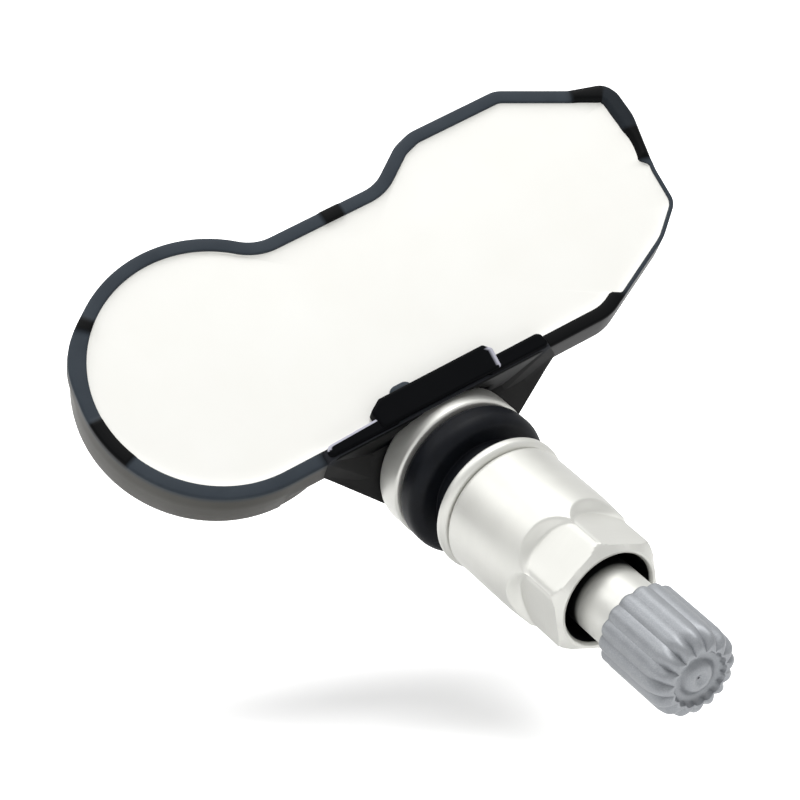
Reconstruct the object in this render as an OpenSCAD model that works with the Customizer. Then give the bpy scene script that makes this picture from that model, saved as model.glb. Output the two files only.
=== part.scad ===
// Clamp-in tyre pressure sensor: a moulded tray with a round battery end, filled with casting
// resin, and an aluminium tyre valve with its rubber grommet, washer, hexagon nut and cap.
// The origin is on the valve's axis, where the grommet's flange meets the inside of the rim.
// +Z is square to the tray's open face, -Y is the side that the valve leaves from.

/* [Valve] */
// Angle between the valve's axis and the plane of the tray
stem_tilt = 30; // [20:1:40]
// Radius over the valve's thread
stem_r = 3.87; // [3.6:0.01:4.1]
// Length of the valve from the rim's inside to its mouth
stem_len = 34.6; // [34:0.1:36]
// Radius of the collar that the grommet sits against
collar_r = 8.3; // [8:0.1:9]
// Thickness of that collar
collar_t = 3.2; // [2.8:0.1:4]
// Length of the knurled root that is moulded into the tray
root_len = 4.4; // [4:0.1:5]
// Radius of that root
root_r = 4.4; // [4.1:0.1:4.8]
// Radius of the air passage up the valve
air_r = 1.1; // [0.8:0.1:1.3]
// Chamfer on the valve's turned edges
stem_chamfer = 0.35; // [0.2:0.05:0.5]

/* [Clamping] */
// Radius of the grommet's flange
flange_r = 8.3; // [8:0.1:9]
// Thickness of that flange
flange_t = 3.7; // [3.2:0.1:4.2]
// Radius of the sleeve that fills the rim's valve hole
sleeve_r = 5.7; // [5.5:0.05:6]
// Thickness of the rim that the sensor is clamped to
rim_t = 2.6; // [2.4:0.1:3.4]
// Radius of the washer
washer_r = 7.65; // [7.4:0.05:8.2]
// Thickness of the washer
washer_t = 1.4; // [1.2:0.1:2]
// Length of the nut
nut_len = 18.1; // [17:0.1:19]
// Radius of the nut's round barrel
nut_r = 7.3; // [7.2:0.05:7.6]
// Radius of the nut where its flats are cut
neck_r = 7.05; // [6.95:0.05:7.15]
// Width across the nut's flats
nut_flats = 12; // [11.8:0.1:12.1]
// Length of each flat, to the top of its arch
flat_len = 7.4; // [6.5:0.1:8]
// Radius of the cutter that ends each flat
cutter_r = 4.0; // [3.8:0.1:5]
// Radius of the recess in the nut's end that clears the cap
recess_r = 5.1; // [5.1:0.05:5.4]
// Depth of that recess
recess_d = 6.4; // [5.8:0.1:7]

/* [Cap] */
// Radius over the cap's ribs
cap_r = 4.9; // [4.8:0.02:4.94]
// Gap between the nut's end and the cap's open end
cap_gap = 4.7; // [4:0.1:5]
// Number of ribs round the cap
rib_count = 16; // [12:1:24]
// Depth of the grooves between the ribs
rib_depth = 0.34; // [0.25:0.01:0.4]
// Thickness of the cap's end wall
cap_end = 1.7; // [1.5:0.1:2]
// Thickness of the seal in the cap
seal_t = 0.6; // [0.4:0.05:0.8]

/* [Tray] */
// Radius of the tray's round end
lobe_r = 14.75; // [14.4:0.05:16]
// Distance from the valve's plane to the middle of the round end
lobe_x = 18.5; // [17.5:0.1:20]
// Distance from the valve's plane to the tray's other end
end_x = 37.1; // [36:0.1:39]
// Depth of the tray from front to back, between its two ends
waist_y = 24.85; // [23.5:0.05:25.5]
// Depth from front to back at the wide end
wide_y = 28.5; // [28:0.1:30]
// Thickness of the tray's walls
wall = 1.5; // [1.3:0.05:1.7]
// Width of the ledge that the circuit board rests on
ledge = 0.7; // [0.5:0.05:0.8]
// Thickness of the tray's floor
floor_t = 1.2; // [1:0.1:1.5]
// Width of the thin lip at the wide end's front
lip_t = 0.45; // [0.4:0.05:0.6]
// How far the tray's front stands behind the collar's back
front_gap = 2.7; // [2.4:0.1:3.2]
// How far the tray's lip is above the middle of the collar's back
lip_rise = 8.0; // [7.5:0.1:8.6]
// Height of the block above the lip
block_h = 1.0; // [0.6:0.1:1.4]
// Half of the block's width
block_w = 7.1; // [6.5:0.1:7.6]
// Depth of the block, from the tray's front
block_y = 3.4; // [3.2:0.1:4.2]
// Half of the width over the two shoulders beside the block
shoulder_w = 13.8; // [13:0.1:15]
// How far the shoulders reach back from the tray's front
shoulder_y = 1.8; // [1.6:0.05:2]
// Radius of the boss behind the collar
boss_r = 7.6; // [7.2:0.1:8]

/* [Inside] */
// Thickness of the circuit board
board_t = 1.0; // [0.8:0.1:1.2]
// Resin over the circuit board
cover_t = 1.4; // [1.3:0.1:1.8]
// How far the resin's face is below the lip
resin_drop = 0.4; // [0.2:0.05:0.6]
// Thickness of the battery
cell_t = 5.0; // [4.5:0.1:5]
// Thickness of the battery's two contact strips
tab_t = 0.15; // [0.1:0.01:0.18]
// Room for the parts under the circuit board
under_t = 2.8; // [2.6:0.1:3]

/* [Valve core] */
// Radius over the core's thread
core_r = 2.55; // [2.4:0.01:2.6]
// Length of the core's body
core_len = 12.0; // [11:0.1:13]
// How far the core sits below the valve's mouth
core_drop = 0.5; // [0.4:0.1:1]
// Radius of the core's pin
pin_r = 0.45; // [0.4:0.01:0.5]
// How far the pin stands out of the core
pin_out = 0.4; // [0.3:0.05:0.45]
// How far the pin can be pushed in
pin_travel = 1.2; // [1:0.1:1.3]
// Radius of the spring's wire
wire_r = 0.13; // [0.1:0.01:0.15]
// Number of turns in the spring
spring_turns = 6; // [5:1:7]

/* [Hidden] */

// Clearances: between fixed pieces, between a thread and what turns on it, and round soft pieces
fit = 0.03;
turn_fit = 0.06;
snug = 0.05;
collar_room = 0.4;

// Sizes that follow: the collar's back on the valve's axis, then the tray's front and its lip
collar_s = -(collar_t + flange_t);
front_y = -collar_s * cos(stem_tilt) + front_gap;
lip_z = collar_s * sin(stem_tilt) + lip_rise;

// Levels in the tray, measured down from the lip
resin_top = -resin_drop;
board_top = resin_top - cover_t;
board_under = board_top - board_t;
cell_top = board_under - tab_t - snug;
cell_under = cell_top - cell_t;
pocket_floor = cell_under - tab_t - snug;
deep_under = pocket_floor - floor_t;
wing_floor = board_under - under_t;
wing_under = wing_floor - floor_t;
cell_r = lobe_r - wall - 0.85;
deep_bevel = 3.2;
deep_bevel_in = 2.1;
wing_bevel = 2.8;
wing_bevel_in = 2.0;
pocket_r = cell_r + 0.25;

// The ridge at the wide end's back corner: where it starts, how far it runs and how proud it is
hook_x = end_x - 4.8;
hook_y = 13.3;
hook_w = 12.6;
hook_h = 0.3;

// Draft of the round end's wall, and the lug on it: radius, how proud and deep it is, where it sits
lobe_draft = 0.25;
lug_r = 8;
lug_h = 0.4;
lug_d = 2.6;
lug_turn = 151;

// The gussets' lower edge below the lip, and how far the shoulders sit towards the round end
gusset_z = 4.1;
shoulder_shift = -0.6;

// Parts on and under the circuit board, with the room that the resin leaves round them
chip_x = end_x - 17.1;
chip_y = wide_y / 2 + 0.25;
port_r = 0.9;
chip_w = 7;
chip_d = 6.6;
radio_size = [5, 5, 0.9];
crystal_size = [3.2, 2.5, 0.7];
capacitor_size = [1.6, 0.8, 0.8];
snug_room = [0.1, 0.1, 0.05];
coil_len = 8;
coil_side = 2.4;
tab_w = 4;
tab_len = 14;
leg_w = 2.2;

// Ribs of the cap: the radius of each and the turn of the first
rib_w = 0.62;
rib_turn = 15;

// Bores in the valve core for the spring and the pin
chamber_r = 1.0;
seat_r = 0.8;

// Levels along the valve's axis, from the rim's inside outwards
washer_s = rim_t;
nut_s = washer_s + washer_t + 0.02;
nut_end_s = nut_s + nut_len;
cap_s = nut_end_s + cap_gap;
seal_s = stem_len + 0.02;
cap_end_s = seal_s + seal_t + cap_end;
cap_len = cap_end_s - cap_s;
core_end_s = stem_len - core_drop;
core_start_s = core_end_s - core_len;
core_bore_s = core_start_s - 3.2;

// Moves what is drawn about +Z onto the valve's axis, at a distance along it
module along_stem(s = 0) {
    rotate([90 - stem_tilt, 0, 0]) translate([0, 0, s]) children();
}

// Moves what is drawn from the tray's front and lip into place
module in_tray(z = 0) {
    translate([0, front_y, lip_z + z]) children();
}

// A turned piece, from points of radius and distance along the axis
module turned(points, segments = 64) {
    rotate_extrude($fn = segments) polygon(points);
}

// Outlines of the tray, seen from above, with y counted back from its front

// The round battery end
module lobe_2d(r) {
    translate([-lobe_x, lobe_r]) circle(r = r, $fn = 96);
}

// The stretch between the two ends
module waist_2d() {
    translate([-lobe_x, 0]) square([lobe_x + 16, waist_y]);
}

// The six-sided wide end
module wide_2d() {
    polygon([
        [6, 0], [end_x - 15.8, 0], [end_x - 5.6, 4.9], [end_x - 2.0, 7.9], [end_x - 1.6, 12.2],
        [end_x, 18.8], [end_x, wide_y - 6.6], [end_x - 0.7, wide_y - 5.0], [end_x - 4.6, wide_y - 3.8],
        [end_x - 11.9, wide_y], [end_x - 23.0, wide_y], [end_x - 25.3, wide_y - 0.7], [6, wide_y - 4.6]
    ]);
}

// The whole outline, with its inner and outer corners rounded
module outline_2d(inset = 0) {
    offset(delta = -inset, $fn = 48)
        offset(r = 1.5, $fn = 48) offset(delta = -1.5)
            offset(r = -5, $fn = 48) offset(delta = 5) {
                lobe_2d(lobe_r);
                waist_2d();
                wide_2d();
            }
}

// The part of the wide end where the resin runs out to a thin lip
module thin_zone_2d() {
    translate([end_x - 17.4, wall]) square([18, hook_y - wall]);
}

// The opening above the ledge: the outline less the walls and the thick block at the front
module opening_2d(gap = 0) {
    difference() {
        outline_2d(wall + gap);
        translate([-block_w - gap, 0]) square([2 * (block_w + gap), block_y + gap]);
    }
}

// Housing

// The round end as a turned form with a bevelled floor, a little narrower below than at its lip
module lobe_shell() {
    translate([-lobe_x, lobe_r, 0]) {
        turned([
            [0, deep_under], [lobe_r - deep_bevel_in, deep_under], [lobe_r - lobe_draft, deep_under + deep_bevel],
            [lobe_r, -lug_d], [lobe_r, -0.35], [lobe_r - 0.35, 0], [0, 0]
        ], 96);
        // shallow lug on the outside of the lip
        rotate([0, 0, lug_turn]) translate([lobe_r + lug_h - lug_r, 0, 0]) turned([
            [0, -lug_d], [lug_r - lug_h, -lug_d], [lug_r, -lug_d + 0.8], [lug_r, -0.35], [lug_r - 0.35, 0], [0, 0]
        ], 96);
    }
}

// One part of the shallow end: upright above, narrowing towards its floor
module bevelled(top) {
    hull() {
        translate([0, 0, wing_under + wing_bevel]) linear_extrude(top - wing_under - wing_bevel) children();
        translate([0, 0, wing_under]) linear_extrude(0.1) offset(delta = -wing_bevel_in) children();
    }
}

module wing_shell() {
    bevelled(board_under) waist_2d();
    bevelled(board_under) offset(r = 1, $fn = 24) offset(delta = -1) wide_2d();
    translate([0, 0, wing_under + wing_bevel]) {
        linear_extrude(-wing_under - wing_bevel - 0.35) outline_2d();
        linear_extrude(-wing_under - wing_bevel) outline_2d(0.35);
    }
}

// What is hollow: the opening for the board, the pocket for the battery, the room under the board
module tray_hollow() {
    translate([0, 0, board_under]) linear_extrude(10) opening_2d();
    translate([0, 0, -0.8]) linear_extrude(10) intersection() {
        outline_2d(lip_t);
        thin_zone_2d();
    }
    translate([0, 0, pocket_floor]) linear_extrude(board_under - pocket_floor + 1) lobe_2d(pocket_r);
    translate([0, 0, wing_floor]) linear_extrude(under_t + 1) intersection() {
        opening_2d(ledge + 0.2);
        translate([-lobe_x + pocket_r - 2, 0]) square([80, 40]);
    }
}

// The two shoulders and the gussets below them, seen from the front with z up
module shoulders_2d() {
    polygon([
        [shoulder_shift - shoulder_w, block_h], [shoulder_shift + shoulder_w, block_h],
        [shoulder_shift + shoulder_w + 2, -gusset_z], [shoulder_shift - shoulder_w, -gusset_z]
    ]);
}

// The flared boss that carries the valve, down to the disc behind the collar
module valve_boss() {
    hull() {
        along_stem(collar_s - 1) cylinder(r = boss_r, h = 1, $fn = 48);
        in_tray() translate([0, wall - 0.1, 0]) rotate([90, 0, 0]) linear_extrude(wall - 0.2) shoulders_2d();
    }
    in_tray(resin_top) translate([shoulder_shift - shoulder_w, 0.1, 0])
        cube([2 * shoulder_w, shoulder_y - 0.1, block_h - resin_top]);
    hull() {
        along_stem(collar_s - 1) cylinder(r = boss_r, h = 1, $fn = 48);
        along_stem(collar_s - root_len - 1.4) cylinder(r = root_r + 1.4, h = 1, $fn = 48);
    }
    hull() {
        along_stem(collar_s - 1) cylinder(r = boss_r, h = 1, $fn = 48);
        in_tray(-0.2) translate([-block_w, 1.9, 0]) cube([2 * block_w, block_y - 1.9, block_h + 0.2]);
    }
    in_tray(board_under) translate([-block_w, 0, 0]) cube([2 * block_w, block_y, -board_under]);
}

// The thicker ridge that hooks round the wide end's back corner
module hook_ridge() {
    in_tray(-1) linear_extrude(1 + hook_h) intersection() {
        difference() {
            outline_2d(0.1);
            outline_2d(2.1);
        }
        translate([hook_x, hook_y]) square([8, hook_w]);
    }
}

// The small nub on the back wall
module back_nub() {
    in_tray(-1.6) translate([0.1, waist_y - 1.5, 0]) cube([2.6, 1.62, 1.75]);
}

module housing() {
    color("#17191c") difference() {
        union() {
            difference() {
                in_tray() {
                    lobe_shell();
                    wing_shell();
                }
                in_tray() tray_hollow();
            }
            hook_ridge();
            back_nub();
            difference() {
                valve_boss();
                in_tray(cell_under) translate([-lobe_x, lobe_r, 0]) cylinder(r = pocket_r, h = 20, $fn = 96);
            }
        }
        // the seat of the valve's root and its air inlet
        along_stem(collar_s - root_len) cylinder(r = root_r, h = root_len + 5, $fn = 64);
        along_stem(collar_s - 2 * lobe_r) cylinder(r = air_r + 0.3, h = 2 * lobe_r, $fn = 48);
        // nothing of the boss stands in front of the collar's back
        along_stem(collar_s) cylinder(r = collar_r + collar_room, h = 10, $fn = 64);
        // the air hole under the pressure chip
        in_tray(wing_under - 1) translate([chip_x, chip_y, 0]) cylinder(r = port_r, h = floor_t + 2, $fn = 32);
    }
}

// Resin and electronics

// Places on top of the board
module radio_place() { translate([end_x - 23.1, wide_y / 2 - 2.25, board_top]) children(); }
module crystal_place() { translate([end_x - 16.1, wide_y / 2 + 4.75, board_top]) children(); }
module capacitor_places() {
    for (i = [0:3]) translate([end_x - 25.1 + 2.4 * i, wide_y / 2 + 6.75, board_top]) children();
}

module resin_fill() {
    color("#f4f2ec") in_tray() difference() {
        union() {
            translate([0, 0, board_top]) linear_extrude(cover_t) opening_2d(0.001);
            translate([0, 0, -0.8]) linear_extrude(0.8 - resin_drop) intersection() {
                outline_2d(lip_t + 0.001);
                thin_zone_2d();
            }
        }
        translate([0, 0, -1.1]) linear_extrude(2) intersection() {
            difference() {
                outline_2d();
                outline_2d(2.101);
            }
            translate([hook_x - 0.001, hook_y - 0.001]) square([8, hook_w + 0.002]);
        }
        radio_place() block(radio_size + snug_room);
        crystal_place() block(crystal_size + snug_room);
        capacitor_places() block(capacitor_size + snug_room);
    }
}

// A cuboid centred on x and y that stands on z = 0
module block(size) {
    translate([-size[0] / 2, -size[1] / 2, 0]) cube(size);
}

module circuit_board() {
    color("#1f6b3c") in_tray(board_under) linear_extrude(board_t) opening_2d(0.15);
}

module battery_cell() {
    color("#c9cbcc") in_tray(cell_under) translate([-lobe_x, lobe_r, 0]) {
        // can with a rolled edge
        turned([
            [0, 0], [cell_r - 0.6, 0], [cell_r, 0.6], [cell_r, cell_t - 0.9], [cell_r - 0.4, cell_t - 0.4],
            [cell_r - 1.5, cell_t - 0.4], [cell_r - 1.8, cell_t], [0, cell_t]
        ], 96);
    }
}

// Flat strip welded to the battery's lid
module battery_tab_top() {
    color("#d8d2c0") in_tray(cell_top) translate([-lobe_x - tab_w / 2, lobe_r - tab_len / 2, 0])
        cube([tab_w, tab_len, tab_t]);
}

// Strip under the battery with a leg that rises beside it to the board
module battery_tab_base() {
    leg_in = cell_r + 0.03;
    color("#d8d2c0") in_tray(pocket_floor) translate([-lobe_x, lobe_r, 0]) {
        translate([leg_in - tab_len, -leg_w / 2, 0]) cube([tab_len, leg_w, tab_t]);
        translate([leg_in, -leg_w / 2, 0]) cube([tab_t, leg_w, board_under - pocket_floor]);
    }
}

module pressure_chip() {
    color("#2c2e31") in_tray(board_under) difference() {
        translate([chip_x, chip_y, -under_t]) block([chip_w, chip_d, under_t]);
        translate([chip_x, chip_y, -under_t - 1]) cylinder(r = port_r, h = under_t, $fn = 32);
    }
}

module radio_chip() {
    color("#26282b") in_tray() radio_place() block(radio_size);
}

module crystal() {
    color("#cfcfcb") in_tray() crystal_place() block(crystal_size);
}

module capacitors() {
    color("#b39a6d") in_tray() capacitor_places() block(capacitor_size);
}

// Ferrite rod with its end flanges, under the board
module coil_place() { translate([end_x - 30.6, waist_y - 7.65, board_under - coil_side]) children(); }

module coil_core() {
    color("#3a3a3c") in_tray() coil_place() {
        translate([-coil_len / 2, -coil_side / 2, 0]) cube([1.2, coil_side, coil_side]);
        translate([coil_len / 2 - 1.2, -coil_side / 2, 0]) cube([1.2, coil_side, coil_side]);
        translate([0, 0, coil_side / 2]) rotate([0, 90, 0]) cylinder(r = 0.65, h = coil_len - 2, center = true, $fn = 48);
    }
}

module coil_winding() {
    color("#b5652d") in_tray() coil_place() translate([0, 0, coil_side / 2]) rotate([0, 90, 0]) difference() {
        cylinder(r = 1.1, h = coil_len - 2.5, center = true, $fn = 48);
        cylinder(r = 0.65 + fit, h = coil_len, center = true, $fn = 48);
    }
}

// Stamped strip that follows the inside of the wide end, under the board
module antenna_strip() {
    color("#c08a4a") in_tray(board_under - 1.5) linear_extrude(1.5) intersection() {
        difference() {
            outline_2d(wall + ledge + 0.5);
            outline_2d(wall + ledge + 0.9);
        }
        translate([end_x - 11.1, wall]) square([end_x, wide_y]);
    }
}

// Valve

module valve_stem() {
    c = stem_chamfer;
    color("#d6d3ca") along_stem() difference() {
        union() {
            turned([
                [0, collar_s - root_len], [root_r - 0.5, collar_s - root_len], [root_r, collar_s - root_len + 0.5],
                [root_r, collar_s - 2.4], [root_r - 0.6, collar_s - 2.0], [root_r - 0.6, collar_s - 1.2],
                [root_r, collar_s - 0.8], [root_r, collar_s],
                [collar_r - c, collar_s], [collar_r, collar_s + c],
                [collar_r, collar_s + collar_t - c], [collar_r - c, collar_s + collar_t],
                [stem_r, collar_s + collar_t],
                [stem_r, stem_len - 0.6], [stem_r - 0.6, stem_len], [0, stem_len]
            ], 96);
        }
        // air passage, the core's chamber with its cone, and the core's thread
        turned([
            [0, collar_s - root_len - 1], [air_r, collar_s - root_len - 1], [air_r, core_bore_s - 0.6],
            [1.75, core_bore_s], [1.75, core_start_s + 4.2], [core_r + turn_fit, core_start_s + 5.8],
            [core_r + turn_fit, stem_len + 1], [0, stem_len + 1]
        ], 64);
    }
}

module grommet() {
    color("#1b1d20") along_stem() turned([
        [stem_r + fit, -flange_t], [flange_r - 0.4, -flange_t], [flange_r, -flange_t + 0.4],
        [flange_r, -0.5], [flange_r - 0.5, 0], [sleeve_r, 0],
        [sleeve_r, rim_t], [stem_r + fit, rim_t]
    ], 96);
}

module washer() {
    c = 0.25;
    color("#dcdad3") along_stem(washer_s) turned([
        [stem_r + turn_fit + 0.1, 0], [washer_r - c, 0], [washer_r, c],
        [washer_r, washer_t - c], [washer_r - c, washer_t], [stem_r + turn_fit + 0.1, washer_t]
    ], 96);
}

// One flat's cutter: a slot that ends in an arch, seen square to the flat
module flat_cutter() {
    translate([nut_flats / 2, 0, nut_len]) rotate([0, 90, 0]) linear_extrude(4) {
        translate([-1, -cutter_r]) square([flat_len - cutter_r + 1, 2 * cutter_r]);
        translate([flat_len - cutter_r, 0]) circle(r = cutter_r, $fn = 64);
    }
}

module nut() {
    color("#dcdad3") along_stem(nut_s) difference() {
        turned([
            [0, 0], [nut_r - 0.5, 0], [nut_r, 0.5], [nut_r, nut_len * 0.5], [neck_r, nut_len * 0.72],
            [neck_r, nut_len - 0.55], [neck_r - 0.95, nut_len], [0, nut_len]
        ], 96);
        for (i = [0:5]) rotate([0, 0, 60 * i]) flat_cutter();
        translate([0, 0, -1]) cylinder(r = stem_r + turn_fit, h = nut_len + 2, $fn = 64);
        translate([0, 0, nut_len - recess_d]) cylinder(r = recess_r, h = recess_d + 1, $fn = 64);
        translate([0, 0, nut_len - 0.4]) cylinder(r1 = recess_r, r2 = recess_r + 0.8, h = 0.8, $fn = 64);
    }
}

// Cap

module cap_shell() {
    tip_r = cap_r - 0.9;
    bore_r = stem_r + turn_fit;
    color("#8b8b91") along_stem(cap_s) difference() {
        union() {
            intersection() {
                turned([
                    [0, 0], [cap_r - 0.25, 0], [cap_r, 0.4], [cap_r, cap_len - 1.5], [cap_r - 0.35, cap_len - 0.6],
                    [tip_r, cap_len], [0, cap_len]
                ], 96);
                // ribs with rounded tops, as a ring of circles round a core
                linear_extrude(cap_len) {
                    circle(r = cap_r - rib_depth, $fn = 96);
                    for (i = [0:rib_count - 1]) rotate(i * 360 / rib_count + rib_turn)
                        translate([cap_r - rib_w, 0]) circle(r = rib_w, $fn = 24);
                }
            }
            turned([[0, 0], [cap_r - rib_depth - 0.1, 0], [cap_r - rib_depth - 0.1, 0.6], [0, 0.6]], 96);
        }
        translate([0, 0, -1]) cylinder(r = bore_r, h = cap_len - cap_end + 1, $fn = 64);
        translate([0, 0, -0.01]) cylinder(r1 = bore_r + 0.35, r2 = bore_r, h = 0.5, $fn = 64);
        // moulded ring groove and dimple in the end
        translate([0, 0, cap_len - 0.5]) turned([[1.9, 0], [2.6, 0], [2.9, 1], [1.6, 1]], 48);
        translate([0, 0, cap_len + 0.3]) sphere(r = 0.8, $fn = 32);
    }
}

module cap_seal() {
    color("#3c3c40") along_stem(seal_s) turned([
        [0.9, 0], [stem_r - 0.1, 0], [stem_r - 0.1, seal_t], [0.9, seal_t]
    ], 64);
}

// Valve core

// Threaded head, slim neck and a lower barrel that holds the spring
module core_body() {
    color("#c7a253") along_stem(core_start_s) difference() {
        turned([
            [0, 0], [1.45, 0], [1.45, 2.8], [1.2, 3.2], [1.2, 6.2], [core_r - 0.4, 6.6],
            [core_r, 7.0], [core_r, core_len - 1.6], [core_r - 0.3, core_len - 1.3], [1.5, core_len - 1.3],
            [1.5, core_len], [0, core_len]
        ], 48);
        // bore for the pin, with room for the spring
        translate([0, 0, -1]) cylinder(r = seat_r, h = core_len + 2, $fn = 32);
        translate([0, 0, 4.6]) cylinder(r = chamber_r, h = core_len, $fn = 32);
        // flats for the core key
        for (m = [-1, 1]) translate([m * 2.0 - 0.9, -3, core_len - 1.3]) cube([1.8, 6, 3]);
    }
}

// Ring that seals the core's neck against the cone in the valve
module core_gasket() {
    color("#a8332b") along_stem(core_start_s) turned([
        [1.2 + fit, 3.3], [1.62, 3.3], [1.62, 4.1], [2.2, 5.9], [1.2 + fit, 5.9]
    ], 48);
}

// Pin with its button, the shoulder that the spring lifts and the cup that closes the core
module core_pin() {
    top = core_len + pin_out;
    color("#d9c27a") along_stem(core_start_s) turned([
        [0, -1.9], [1.3, -1.9], [1.3, -1.3], [pin_r, -1.3],
        [pin_r, top - 2.2], [0.85, top - 2.0], [0.85, top - 1.7], [pin_r, top - 1.5],
        [pin_r, top - 0.15], [pin_r - 0.15, top], [0, top]
    ], 32);
}

// Rubber ring on the cup, pressed against the end of the core
module core_cup_seal() {
    color("#26282b") along_stem(core_start_s) turned([
        [pin_r + fit, -1.3], [1.3, -1.3], [1.25, 0], [pin_r + fit, 0]
    ], 48);
}

// Spring round the pin, from the step in the core's bore to the pin's shoulder
module core_spring() {
    low = 4.6 + wire_r + 0.02;
    high = core_len + pin_out - 2.2 - wire_r - 0.02;
    coil_r = (pin_r + chamber_r) / 2;
    steps = 12 * spring_turns;
    sides = 6;
    ring = [for (i = [0:steps]) let (a = 30 * i, h = low + (high - low) * i / steps)
        for (j = [0:sides - 1]) let (b = 360 * j / sides)
            [(coil_r + wire_r * cos(b)) * cos(a), (coil_r + wire_r * cos(b)) * sin(a), h + wire_r * sin(b)]];
    faces = concat(
        [[for (j = [0:sides - 1]) j]],
        [for (i = [0:steps - 1]) for (j = [0:sides - 1])
            [sides * i + j, sides * (i + 1) + j, sides * (i + 1) + (j + 1) % sides]],
        [for (i = [0:steps - 1]) for (j = [0:sides - 1])
            [sides * i + j, sides * (i + 1) + (j + 1) % sides, sides * i + (j + 1) % sides]],
        [[for (j = [sides - 1:-1:0]) sides * steps + j]]
    );
    color("#b9b9b4") along_stem(core_start_s) polyhedron(ring, faces, convexity = 10);
}

housing();
resin_fill();
circuit_board();
battery_cell();
battery_tab_top();
battery_tab_base();
pressure_chip();
radio_chip();
crystal();
capacitors();
coil_core();
coil_winding();
antenna_strip();
valve_stem();
grommet();
washer();
nut();
cap_shell();
cap_seal();
core_body();
core_gasket();
core_pin();
core_cup_seal();
core_spring();
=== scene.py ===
import math

import bpy
import numpy as np
from mathutils import Matrix, Vector


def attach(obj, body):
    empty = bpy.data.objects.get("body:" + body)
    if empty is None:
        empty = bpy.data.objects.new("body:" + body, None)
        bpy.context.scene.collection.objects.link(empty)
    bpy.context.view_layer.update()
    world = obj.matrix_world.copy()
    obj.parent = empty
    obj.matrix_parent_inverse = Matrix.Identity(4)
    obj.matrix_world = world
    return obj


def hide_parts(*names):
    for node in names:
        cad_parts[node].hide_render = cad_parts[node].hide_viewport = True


# %% [markdown]
# # A clamp-in tyre pressure sensor
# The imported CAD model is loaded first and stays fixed: every piece made below sits in the same
# frame, in metres, so nothing has to be fitted by eye. The origin is on the valve's axis where
# the rubber flange meets the rim, +Z is square to the tray's open face and the valve leaves
# towards -Y and up, at 30 degrees to the tray.

# %% Load the CAD frame
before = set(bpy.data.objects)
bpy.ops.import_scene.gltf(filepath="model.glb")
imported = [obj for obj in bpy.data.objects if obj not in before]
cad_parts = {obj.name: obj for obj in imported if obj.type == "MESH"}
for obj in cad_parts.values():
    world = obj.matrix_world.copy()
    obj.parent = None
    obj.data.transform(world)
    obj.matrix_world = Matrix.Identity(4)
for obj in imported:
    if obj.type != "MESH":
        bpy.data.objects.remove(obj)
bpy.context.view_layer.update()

# %% [markdown]
# ## Working units and the valve's own directions
# Shapes are worked out in millimetres, because the real sizes are, and turned into metres when
# a mesh is made. A turned piece is easiest to think of as a radius, an angle and a distance
# along the valve, so one function carries those three numbers into the frame.

# %% Directions of the valve
MM = 0.001
TILT = math.radians(30)
ACROSS = np.array([1.0, 0.0, 0.0])
OUTWARD = np.array([0.0, -math.cos(TILT), math.sin(TILT)])
UPRIGHT = np.cross(OUTWARD, ACROSS)


def on_valve(radius, angle, distance):
    """Point = radius * (cos(angle) * across + sin(angle) * upright) + distance * outward, for arrays."""
    radius, angle, distance = np.broadcast_arrays(radius, angle, distance)
    return (
        (radius * np.cos(angle))[..., None] * ACROSS
        + (radius * np.sin(angle))[..., None] * UPRIGHT
        + distance[..., None] * OUTWARD
    )


def full_turn(count):
    """Angle k = k * 2 pi / count, for k from 0 to count - 1."""
    return np.arange(count) * 2 * np.pi / count


print("outward direction of the valve:", OUTWARD.round(4))

# %% [markdown]
# ## From a grid of points to a mesh
# Nearly every surface here is a stack of closed rings, such as a turned profile or the tray's
# outline at several levels. The rings are one array of shape (rings, points, 3). Quads join
# each ring to the next, and each end of the stack is closed with a fan round one middle point,
# unless the last ring joins the first. Rings run anticlockwise seen from where the stack goes,
# so that the faces point outwards. A piece can also carry a number for each vertex, which its
# material reads to paint shade or a highlight on one place.

# %% Skin over rings
def skin(name, rings, join_ends=False, smooth_below=35):
    """Ring i, point j becomes vertex i * n + j. The quad (i, j), (i, j+1), (i+1, j+1), (i+1, j) joins two
    rings. An edge that turns by more than smooth_below degrees stays sharp."""
    rings = np.asarray(rings, float)
    m, n = rings.shape[:2]
    i, j = np.meshgrid(np.arange(m if join_ends else m - 1), np.arange(n), indexing="ij")
    next_i, next_j = (i + 1) % m, (j + 1) % n
    quads = np.stack([i * n + j, i * n + next_j, next_i * n + next_j, next_i * n + j], -1)
    faces = quads.reshape(-1, 4).tolist()
    verts = rings.reshape(-1, 3)
    if not join_ends:
        verts = np.vstack([verts, rings[0].mean(0), rings[-1].mean(0)])
        here, after, last = np.arange(n), (np.arange(n) + 1) % n, (m - 1) * n
        faces += np.stack([np.full(n, m * n), after, here], -1).tolist()
        faces += np.stack([np.full(n, m * n + 1), last + here, last + after], -1).tolist()
    mesh = bpy.data.meshes.new(name)
    mesh.from_pydata((verts * MM).tolist(), [], faces)
    mesh.update()
    piece = bpy.data.objects.new(name, mesh)
    bpy.context.collection.objects.link(piece)
    mesh.shade_smooth()
    mesh.set_sharp_from_angle(angle=math.radians(smooth_below))
    return piece


# %% A number for each vertex
def store(piece, name, values):
    """Writes values, ring by ring, as an attribute that a material can read. The middle point of a closed
    end, where the piece has one, gets the mean of its ring."""
    values = np.asarray(values, float)
    numbers = np.append(values.ravel(), [values[0].mean(), values[-1].mean()])[:len(piece.data.vertices)]
    piece.data.attributes.new(name, "FLOAT", "POINT").data.foreach_set("value", numbers)


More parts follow.
